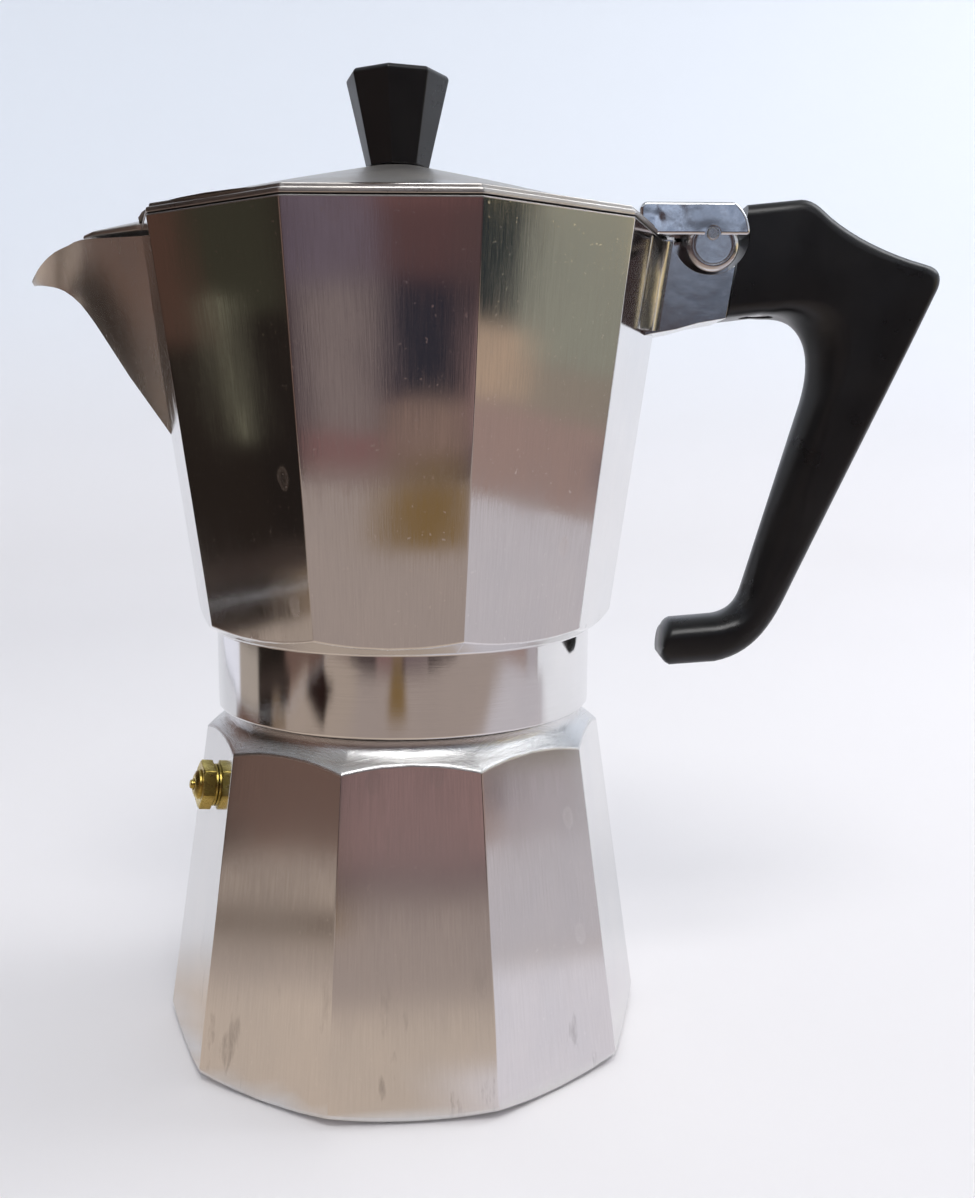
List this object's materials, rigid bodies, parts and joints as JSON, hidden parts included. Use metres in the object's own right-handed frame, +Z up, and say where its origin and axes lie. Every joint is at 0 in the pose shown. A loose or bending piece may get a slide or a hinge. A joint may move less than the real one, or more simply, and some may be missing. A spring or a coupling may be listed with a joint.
{
  "type": "moka pot",
  "caption": "Ten-sided stovetop moka pot with screw-on collector, hinged lid, spout, moulded side handle, funnel, filter plate, gasket and brass safety valve.",
  "frame": {"origin": "on the pot's axis at the boiler's flat underside", "axes": "+Z up, +X towards the handle, -X towards the spout, the hinge pin along Y"},
  "size_m": [0.1975, 0.1106, 0.2117],
  "materials": {
    "boiler_aluminium": "fine brushed facets with water marks",
    "collector_aluminium": "fine brushed facets, polished collar",
    "lid_aluminium": "satin",
    "hinge_metal": "polished",
    "funnel_aluminium": "satin",
    "valve_brass": "turned",
    "steel": "plain",
    "gasket_rubber": "matt",
    "black_phenolic": "moulded, glossy"
  },
  "bodies": {
    "base": {"boiler": "boiler_aluminium", "valve_body": "valve_brass", "valve_washer": "valve_brass", "valve_retainer": "valve_brass", "valve_spring": "steel"},
    "plunger": {"valve_plunger": "valve_brass"},
    "funnel": {"funnel_cup": "funnel_aluminium", "funnel_stem": "funnel_aluminium", "funnel_screen": "funnel_aluminium"},
    "seal": {"gasket": "gasket_rubber"},
    "strainer": {"filter_plate": "funnel_aluminium"},
    "jug": {"collector": "collector_aluminium", "riser_column": "funnel_aluminium", "handle": "black_phenolic", "handle_screw": "steel"},
    "cover": {"lid": "lid_aluminium", "lid_hinge": "hinge_metal", "lid_rivet_left": "steel", "lid_rivet_right": "steel", "hinge_pin": "steel", "knob": "black_phenolic", "knob_insert": "valve_brass", "knob_washer": "steel", "knob_screw": "steel"}
  },
  "joints": [
    {"name": "valve_lift", "type": "slide", "parent": "base", "child": "plunger", "axis": [-0.9073, -0.3964, 0.1405], "range_m": [0, 0.0012], "stiffness_N_per_m": 1200, "springref_m": -0.002, "deforming": ["valve_spring"]},
    {"name": "funnel_lift", "type": "slide", "parent": "base", "child": "funnel", "axis": [0, 0, 1], "range_m": [0, 0.085]},
    {"name": "collector_lift", "type": "slide", "parent": "funnel", "child": "seal", "axis": [0, 0, 1], "range_m": [0, 0.03]},
    {"name": "thread_rise", "type": "slide", "parent": "seal", "child": "strainer", "axis": [0, 0, 1], "range_m": [0, 0.006]},
    {"name": "collector_turn", "type": "hinge", "parent": "strainer", "child": "jug", "pos_m": [0, 0, 0.08], "axis": [0, 0, 1], "range_deg": [0, 540]},
    {"name": "lid_swing", "type": "hinge", "parent": "jug", "child": "cover", "pos_m": [0.0661, 0, 0.1776], "axis": [0, 1, 0], "range_deg": [0, 100]}
  ],
  "couplings": [
    {"joint": "thread_rise", "follows": "collector_turn", "m_per_rad": 0.0006366}
  ]
}
